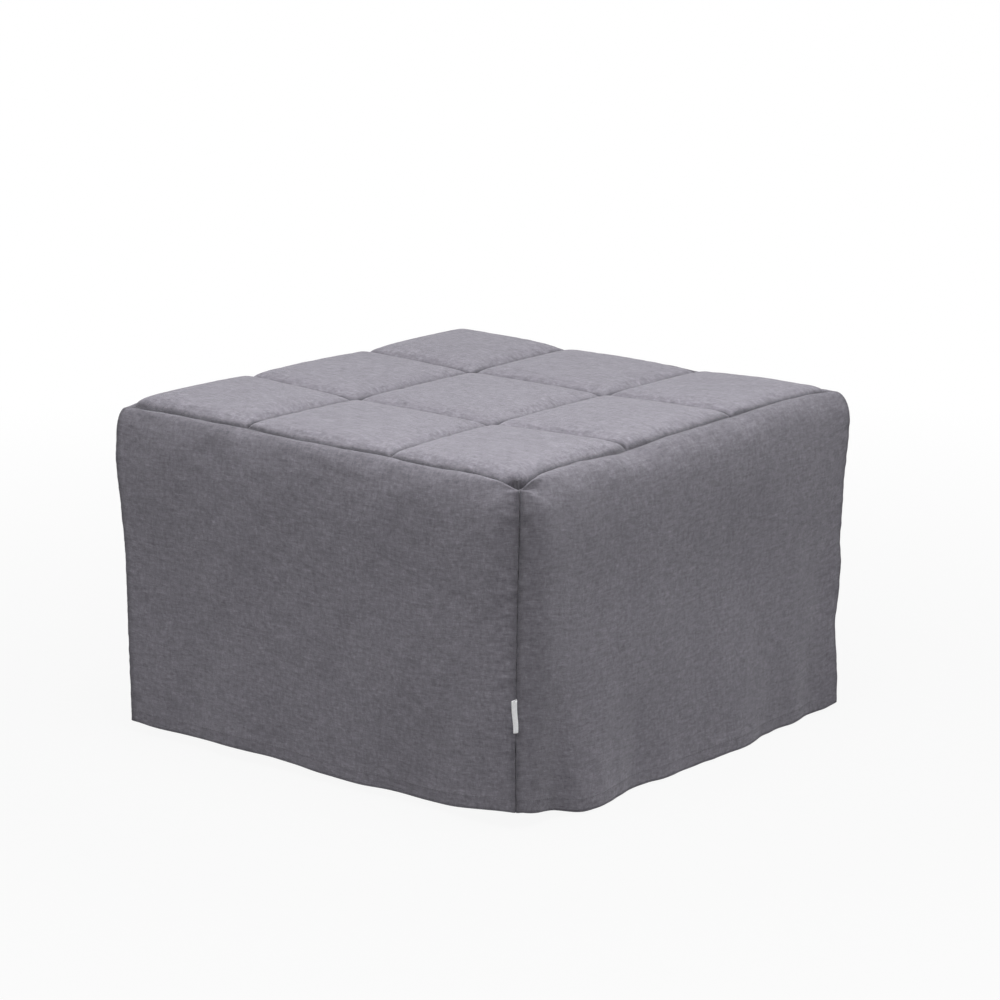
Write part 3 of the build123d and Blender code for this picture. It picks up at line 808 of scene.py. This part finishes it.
# The top doesn't sink below this height over the mattress, which ends at these places. Its underside lies
# a little lower, and its cloth is this thick elsewhere.
lowest_top = 476.3
mattress_end_x = 335.0
mattress_end_y = 345.0
under_top = 475.4
quilt_cloth_depth = 1.0

# Gathers along the sewn lines and wide waves, as depth and length, and a channel's painted shade and its
# width
gathers = (0.55, 24)
top_waves = (0.5, 90)
gather_start = 2.5
gather_reach = 13
wave_start = 40
channel_painted_shade = (0.85, 4.6)

# Rough places of the seams and channels, the sewn channels, the heights of the squares' corners, and
# how much fuller each square is: rows from the front, squares from the left
rough_x = [-352, -140, 115, 342]
rough_y = [-363, -129, 130, 361]
channels_x = [
    [(-380, -142), (-128, -140), (130, -139), (380, -141)],
    [(-380, 125), (-128, 115), (130, 114), (380, 112)],
]
channels_y = [
    [(-370, -130), (-140, -129), (115, -129), (240, -120), (370, -104)],
    [(-370, 133), (-140, 130), (115, 130), (370, 134)],
]
crowns = [
    [502.5, 494, 491, 490.5],
    [500, 491.5, 490.5, 492],
    [496, 491, 490, 494],
    [496.5, 490.5, 487.5, 494],
]
fullness = [[3.0, 3.2, 4.0], [3.0, 3.0, 3.0], [4.5, 3.4, 3.2]]


def seam_line(name):
    """Where a panel's top edge is sewn to the top."""
    return panel_grids[name][-tail_rows]


def crossing(value, line, along, across):
    """Where the seam lies across, at a place along it."""
    order = np.argsort(line[:, along])
    return np.interp(value, line[order, along], line[order, across])


def corner_gap(points):
    """How far places lie in from the near corner of the top, along its diagonal."""
    return (half_x - corner_seam - points[..., 0] + points[..., 1] + half_y - corner_seam) / math.sqrt(2)


def seams_and_channels(low, high, channels, value, along, across):
    """Where two outer seams and the two channels between them pass each point."""
    outer = [crossing(value, seam_line(name), along, across) for name in (low, high)]
    return [outer[0]] + [through(value, table) for table in channels] + [outer[1]]


def in_square(lines, cells, share):
    """A value at a share of the way from the line before a point's square to the line after it."""
    low, high = (np.take_along_axis(np.array(lines), cells[None] + k, 0)[0] for k in (0, 1))
    return low * (1 - share) + high * share


def make_top():
    """Grid of the quilted top: nine squares that swell between the outer seams and the sewn channels."""
    steps = eased(cell_steps + 1, cell_ease)
    places = np.concatenate([k + steps[:-1] for k in range(3)] + [[3.0]])
    a, b = np.meshgrid(places, places)
    cell_a, cell_b = np.minimum(a.astype(int), 2), np.minimum(b.astype(int), 2)
    u, v = a - cell_a, b - cell_b
    x, y = np.interp(a, range(4), rough_x), np.interp(b, range(4), rough_y)
    for _ in range(4):
        lines_x = seams_and_channels("left", "right", channels_x, y, 1, 0)
        lines_y = seams_and_channels("front", "back", channels_y, x, 0, 1)
        x, y = in_square(lines_x, cell_a, u), in_square(lines_y, cell_b, v)
    level = np.array(crowns, float)
    crown = level[cell_b, cell_a] * (1 - u) * (1 - v) + level[cell_b, cell_a + 1] * u * (1 - v)
    crown = crown + level[cell_b + 1, cell_a] * (1 - u) * v + level[cell_b + 1, cell_a + 1] * u * v
    seam_x = [crossing(y[:, k], seam_line(name), 1, 2)[:, None] for k, name in ((0, "left"), (-1, "right"))]
    seam_y = [crossing(x[k], seam_line(name), 0, 2) for k, name in ((0, "front"), (-1, "back"))]
    drop = 0
    for seam, depth, cells, share in (
        (seam_x, channel_depth_y, cell_a, u),
        (seam_y, channel_depth_x, cell_b, v),
    ):
        deep = [crown - seam[0], depth + crown * 0, depth + crown * 0, crown - seam[1]]
        puff = (1 - np.minimum(np.abs(2 * share - 1) / channel_edge, 1) ** puff_power) ** puff_root
        drop = drop + np.abs(in_square(deep, cells, share) * (1 - puff)) ** 3
    dome = np.array(fullness)[cell_b, cell_a] * (np.sin(math.pi * u) * np.sin(math.pi * v)) ** 0.5
    near_seam = np.minimum(np.minimum(u, 1 - u), np.minimum(v, 1 - v)) * square_size
    gather = np.exp(-near_seam / gather_reach) * (1 - np.exp(-near_seam / gather_start))
    z = crown - drop ** (1 / 3) + dome
    z = z - hollow_depth * below(corner_gap(np.stack([x, y], -1)), hollow_reach, hollow_blur)
    waving = waves(top_waves, x, y, 52) * np.clip(near_seam / wave_start, 0, 1)
    z = z + gather * waves(gathers, x, y, 51) + waving
    over_mattress = (np.abs(x) < mattress_end_x) & (np.abs(y) < mattress_end_y)
    z = np.where(over_mattress, np.maximum(z, lowest_top), z)
    z[0], z[-1] = seam_y
    z[:, [0]], z[:, [-1]] = seam_x
    return np.stack([x, y, z], -1)


def top_painted_shade(points):
    """How dark the painted shade is along the sewn lines of the top, and in the hollow at its near corner."""
    painted_dark = below(corner_gap(points), hollow_reach + 1, 0.5)
    for line in sewn:
        for away in (points - points[line], points - points[:, [line]]):
            painted_dark = np.maximum(painted_dark, painted_shade_at(np.hypot(away[..., 0], away[..., 1]), channel_painted_shade))
    return painted_dark


top_points = make_top()
top_size = top_points.shape[0]
sewn = range(0, top_size, cell_steps)


def simulate(obj, pins, pressure, frames, cap, stiff=15.0, bend=0.6, loose=0.0):
    """Inflate a piece with the cloth solver, hold its sewn points, and keep the result."""
    group = obj.vertex_groups.new(name="sewn")
    group.add(pins, 1.0, "REPLACE")
    before = coordinates(obj.data)
    modifier = obj.modifiers.new("inflate", "CLOTH")
    settings = modifier.settings
    settings.quality = 5
    settings.mass = 0.3
    settings.tension_stiffness = stiff
    settings.compression_stiffness = stiff
    settings.shear_stiffness = 5.0
    settings.bending_stiffness = bend
    settings.tension_damping = 10.0
    settings.compression_damping = 10.0
    settings.air_damping = 3.0
    settings.use_pressure = True
    settings.uniform_pressure_force = pressure
    settings.shrink_min = -loose
    if len(pins):
        settings.vertex_group_mass = "sewn"
        settings.pin_stiffness = 5.0
    settings.effector_weights.gravity = 0.0
    modifier.collision_settings.use_collision = False
    modifier.point_cache.frame_start = 1
    modifier.point_cache.frame_end = frames
    scene = bpy.context.scene
    for number in range(1, frames + 1):
        scene.frame_set(number)
    solved = obj.evaluated_get(bpy.context.evaluated_depsgraph_get())
    move = coordinates(solved.data) - before
    obj.modifiers.remove(modifier)
    scene.frame_set(1)
    reach = np.linalg.norm(move, axis=1, keepdims=True)
    move = move * np.tanh(reach / (cap * MM)) * cap * MM / np.maximum(reach, 1e-9)
    return (before + move) / MM


def inflate_top(points):
    """Blow the squares up between their seams, so that the cloth gathers along the stitching."""
    trial = finish_mesh("trial", points, grid_faces(top_size, top_size))
    held = np.zeros((top_size, top_size), bool)
    held[list(sewn)] = True
    held = held | held.T
    solved = simulate(trial, np.flatnonzero(held).tolist(), 0.8, 12, 1.2, loose=0.003)
    bpy.data.objects.remove(trial)
    return solved.reshape(points.shape)


top_points = inflate_top(top_points)
under_points = top_points.copy()
under_points[..., 2] = np.minimum(under_top, under_points[..., 2] - quilt_cloth_depth)
faces = grid_faces(top_size, top_size)
back_faces = grid_faces(top_size, top_size, top_size**2)[:, ::-1]
index = np.arange(top_size**2).reshape(top_size, top_size)
rim = np.concatenate([index[0, :-1], index[:-1, -1], index[-1, :0:-1], index[:0:-1, 0]])
rim_faces = np.stack([rim, rim + top_size**2, np.roll(rim, -1) + top_size**2, np.roll(rim, -1)], -1)
quilt = finish_mesh(
    "cover_quilted_top",
    np.concatenate([top_points.reshape(-1, 3), under_points.reshape(-1, 3)]),
    np.concatenate([faces, back_faces, rim_faces]),
    np.tile(top_points[..., :2].reshape(-1, 2), (2, 1)),
    # Painted shade along the channels and in the near corner hollow, on both faces of the top
    np.tile(top_painted_shade(top_points), (2, 1)),
)
quilt.data.materials.append(quilt_cloth)
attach(quilt, "cover")
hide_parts("cover_top")

# Stitches


def stitches(name, paths, radius=0.38, length=3.4, pitch=4.4):
    """Short threads of the cover that lie along paths and dip into the cloth at both ends.

    A path is points with their normals. A ring of a thread is its place, width and rise.
    """
    rings = [(-0.5, 0.35, -0.5), (-0.36, 1.0, 0.1), (0.0, 1.0, 0.35), (0.36, 1.0, 0.1), (0.5, 0.35, -0.5)]
    place, width, rise = np.array(rings).T[..., None]
    sides = 6
    turn = 2 * math.pi * np.arange(sides) / sides
    forward = (place * length + turn * 0).ravel()
    upward = (rise * radius + np.cos(turn) * radius * width).ravel()
    sideways = (np.sin(turn) * radius * width).ravel()
    thread = index_faces(np.pad(np.arange(len(forward)).reshape(-1, sides), ((0, 0), (0, 1)), mode="wrap"))
    points, faces = [], []
    for path, normals in paths:
        gone = lengths(path)
        for middle in np.arange(pitch, gone[-1] - pitch, pitch):
            low, high = (at_length(middle + away, gone, path) for away in (-1, 1))
            along = (high - low) / np.linalg.norm(high - low)
            normal = at_length(middle, gone, normals)
            normal = normal - along * (normal @ along)
            normal = normal / np.linalg.norm(normal)
            shape = np.outer(forward, along) + np.outer(upward, normal)
            faces.append(thread + len(points) * len(forward))
            points.append((low + high) / 2 + shape + np.outer(sideways, np.cross(along, normal)))
    obj = finish_mesh(name, np.concatenate(points), np.concatenate(faces))
    obj.data.materials.append(cover_thread)
    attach(obj, "cover")
    return obj


hem_stitch_height = 18.0
cover_thread = sewing_thread("cover_thread", (0.11, 0.105, 0.12))
up = np.array([0.0, 0.0, 1.0])
inner = slice(3, -3)
channel_paths = []
for line in sewn[1:-1]:
    for path in (top_points[line, inner], top_points[inner, line]):
        channel_paths.append((path, np.tile(up, (len(path), 1))))
stitches("cover_channel_stitches", channel_paths)


def level_path(points, height):
    """The line of a panel at one height above its hem."""
    path = []
    for column in range(1, points.shape[1] - 1):
        line = points[:, column]
        row = np.searchsorted(line[:, 2] - line[0, 2], height)
        low, top = line[row - 1], line[row]
        t = (line[0, 2] + height - low[2]) / max(top[2] - low[2], 1e-6)
        path.append(low + (top - low) * t)
    return np.array(path)


for name, points in panel_grids.items():
    turn = math.radians(panels[name]["turn"])
    path = level_path(points, hem_stitch_height)
    outward = np.tile([math.sin(turn), -math.cos(turn), 0.0], (len(path), 1))
    stitches("cover_" + name + "_hem_stitches", [(path, outward)])

# Label

label_x = half_x - 23.0
label_y = -half_y + 19.0
label_foot = 141.0
label_height = 44.0
label_reach = 10.5
label_loop = 3.1
label_cloth = 0.35


def make_label():
    """A tape folded into a loop that stands out of the near corner seam, a little wider at its top."""
    rows, columns = 40, 33
    turn = np.linspace(-1, 1, columns)
    points = []
    for t in np.linspace(0, 1, rows):
        out = (label_reach + 1.5 * t) * np.cos(turn * math.pi / 2) ** 0.75
        width = (label_loop + 1.1 * t) * np.sin(turn * math.pi) * (1 - 0.15 * t) + 0.35 * math.sin(t * 7.0)
        lean = math.radians(-52 - 14 * t)
        x = label_x + math.cos(lean) * out - math.sin(lean) * width
        y = label_y + math.sin(lean) * out + math.cos(lean) * width
        points.append(np.stack([x, y, label_foot + label_height * t + 0.6 * np.sin(turn * 2)], -1))
    return np.array(points)


label_points = make_label()
label = finish_mesh("cover_label", label_points, grid_faces(*label_points.shape[:2]), flat_map(label_points))
label.data.materials.append(satin_label())
thicken(label, label_cloth, 0)
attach(label, "cover")
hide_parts("cover_tag")

# Mattresses

# A mattress: its inset before it swells, its rounding, its voxels in metres, its room, and its piping
mattress_inset = 2.2
mattress_round = 11.0
mattress_voxel = 0.0075
mattress_clear = 0.25
piping_radius = 2.4
piping_inset = 3.24
piping_corner = 13.0
piping_level = 8.5


def padded_block(low, high):
    """A block with rounded edges, a little smaller than its space, in even faces."""
    mesh = bpy.data.meshes.new("block")
    shape = bmesh.new()
    bmesh.ops.create_cube(shape, size=1.0)
    size = [(h - l) / MM - mattress_inset * 2 for l, h in zip(low, high)]
    centre = [(h + l) / 2 / MM for l, h in zip(low, high)]
    for vertex in shape.verts:
        vertex.co = Vector([c + v * s for c, v, s in zip(centre, vertex.co, size)]) * MM
    rounded = shape.verts[:] + shape.edges[:]
    bmesh.ops.bevel(shape, geom=rounded, offset=mattress_round * MM, segments=5, profile=0.5, affect="EDGES")
    shape.to_mesh(mesh)
    shape.free()
    obj = add_object("block", mesh)
    remesh = obj.modifiers.new("even", "REMESH")
    remesh.mode = "VOXEL"
    remesh.voxel_size = mattress_voxel
    solved = obj.evaluated_get(bpy.context.evaluated_depsgraph_get())
    even = bpy.data.meshes.new_from_object(solved)
    bpy.data.objects.remove(obj)
    points = coordinates(even) / MM
    faces = [tuple(face.vertices) for face in even.polygons]
    bpy.data.meshes.remove(even)
    return points, faces


def swell(points, faces, low, high):
    """Blow the block up a little inside its space: fuller sides and top, and flat where it rests."""
    trial = finish_mesh("trial", points, faces)
    points = simulate(trial, [], 2.2, 10, 3.0, stiff=12.0, bend=4.0, loose=0.01)
    bpy.data.objects.remove(trial)
    low, high = np.array(low) / MM, np.array(high) / MM
    middle, half = (low + high) / 2, (high - low) / 2 - mattress_clear
    return np.clip(points, middle - half, middle + half)


mattress_cloth = ticking()
piping_material = piping_cloth()
base_low, base_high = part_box("base_mattress")
block_points, block_faces = padded_block(base_low, base_high)
block_points = swell(block_points, block_faces, base_low, base_high)
block_low = np.array(base_low) / MM
block_size = (np.array(base_high) - np.array(base_low)) / MM


def piping_loop(low, high, level):
    """A closed line along the edge of a mattress, at one height."""
    reach = piping_corner + piping_inset
    path = []
    for x, y, first in (
        (high[0] - reach, high[1] - reach, 0),
        (low[0] + reach, high[1] - reach, 90),
        (low[0] + reach, low[1] + reach, 180),
        (high[0] - reach, low[1] + reach, 270),
    ):
        for turn in np.radians(np.linspace(first, first + 90, 14)):
            path.append((x + piping_corner * math.cos(turn), y + piping_corner * math.sin(turn), level))
    return np.array(path)


def piping(name, body, path, sides=10, spacing=9.0):
    """A closed round cord along a path, with a slight unevenness."""
    closed = np.vstack([path, path[:1]])
    gone = lengths(closed)
    count = int(gone[-1] / spacing)
    places = np.linspace(0, gone[-1], count, endpoint=False)
    line = at_length(places, gone, closed)
    ahead = np.roll(line, -1, 0) - np.roll(line, 1, 0)
    ahead = ahead / np.linalg.norm(ahead, axis=1, keepdims=True)
    side = np.cross(ahead, up)
    side = side / np.linalg.norm(side, axis=1, keepdims=True)
    uneven = 1 + 0.06 * ripple(places, places * 0, 60, 77)
    points = []
    for k in range(sides):
        turn = 2 * math.pi * k / sides
        points.append(line + (side * math.cos(turn) + up * math.sin(turn)) * piping_radius * uneven[:, None])
    faces = index_faces(np.pad(np.arange(sides * count).reshape(sides, count), (0, 1), mode="wrap"))
    obj = finish_mesh(name, np.array(points), faces)
    obj.data.materials.append(piping_material)
    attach(obj, body)


for section in ("base", "middle", "head"):
    low, high = (np.array(corner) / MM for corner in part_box(section + "_mattress"))
    share = (block_points - block_low) / block_size
    turned = {"base": [], "middle": [1, 2], "head": [0, 1]}[section]
    share[:, turned] = 1 - share[:, turned]
    pad = finish_mesh(section + "_mattress_pad", low + share * (high - low), block_faces)
    pad.data.materials.append(mattress_cloth)
    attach(pad, section)
    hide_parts(section + "_mattress")
    for level, word in ((low[2] + piping_level, "low"), (high[2] - piping_level, "high")):
        piping(section + "_mattress_piping_" + word, section, piping_loop(low, high, level))

# Pieces that keep their CAD shape

finishes = {
    "frame_paint": coated_steel("frame_powder_coat", (0.035, 0.035, 0.038), 0.34),
    "plate_steel": coated_steel("plate_powder_coat", (0.050, 0.050, 0.054), 0.40),
    "zinc_steel": zinc(),
    "black_plastic": black_plastic(),
    "slat_wood": slat_wood(),
}
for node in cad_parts.values():
    for slot in node.material_slots:
        for key, finish in finishes.items():
            if slot.material and slot.material.name.startswith(key):
                slot.material = finish

# Floor, light and camera

ambient = 0.62
camera_azimuth = 39.4
camera_elevation = 13.7
camera_distance = 4.941
camera_lens = 122.4
camera_aim = Vector((0.0136, 0.0117, 0.334))


def make_floor():
    """A plain white floor that keeps the shadow and looks white where it is seen, more so further out."""
    n = new_material("studio_floor")
    place = n.place()
    speck = n.noise(place, 40.0, 3.0)
    color = n.mix(n.spread(speck), (0.32, 0.32, 0.32), (0.30, 0.30, 0.30))
    n.done(color, 0.9, Specular_IOR_Level=0.0)
    light = n.add("ShaderNodeEmission", {"Color": (1, 1, 1, 1), "Strength": 1.0})
    spread = n.add("ShaderNodeVectorMath", {0: place}, operation="LENGTH").outputs["Value"]
    share = n.math("MULTIPLY", n.seen(), n.span(spread, 0.8, 2.4, 0.92, 1.0))
    both = n.add("ShaderNodeMixShader", {0: share, 1: n.shader, 2: light})
    n.set(n.tree.nodes["Material Output"].inputs["Surface"], both)
    steps = np.linspace(-30, 30, 9) / MM
    x, y = np.meshgrid(steps, steps)
    floor = finish_mesh("studio_floor", np.stack([x, y, x * 0], -1), grid_faces(9, 9))
    floor.data.materials.append(n.owner)


def make_world():
    """Soft even light from all round, white where it is seen."""
    world = bpy.data.worlds.new("studio")
    bpy.context.scene.world = world
    n = Nodes(world)
    n.tree.nodes.clear()
    plain = {"Color": (1, 1, 1, 1)}
    soft, white = (n.add("ShaderNodeBackground", {**plain, "Strength": s}) for s in (ambient, 1.0))
    both = n.add("ShaderNodeMixShader", {0: n.seen(), 1: soft, 2: white})
    n.add("ShaderNodeOutputWorld", {"Surface": both})


def make_lamp(name, place, size, power, aim=(0.0, 0.0, 0.25)):
    """A square soft lamp turned to a point."""
    lamp = bpy.data.lights.new(name, "AREA")
    lamp.shape = "SQUARE"
    lamp.size = size
    lamp.energy = power
    obj = add_object(name, lamp)
    obj.location = place
    obj.rotation_euler = (Vector(aim) - Vector(place)).to_track_quat("-Z", "Y").to_euler()


def make_camera():
    """The photograph's view."""
    azimuth, elevation = math.radians(camera_azimuth), math.radians(camera_elevation)
    level = math.cos(elevation)
    direction = Vector((math.sin(azimuth) * level, -math.cos(azimuth) * level, math.sin(elevation)))
    data = bpy.data.cameras.new("camera")
    data.lens = camera_lens
    data.sensor_width = 36.0
    camera = add_object("camera", data)
    camera.location = camera_aim + direction * camera_distance
    camera.rotation_euler = (-direction).to_track_quat("-Z", "Y").to_euler()
    bpy.context.scene.camera = camera


make_floor()
make_world()
make_lamp("overhead", (0.5, -0.42, 2.2), 1.5, 51)
make_lamp("side", (4.6, 1.4, 2.4), 2.4, 2)
make_lamp("front", (-1.6, -4.6, 2.2), 2.4, 10)
make_camera()
bpy.context.scene.view_settings.view_transform = "Standard"
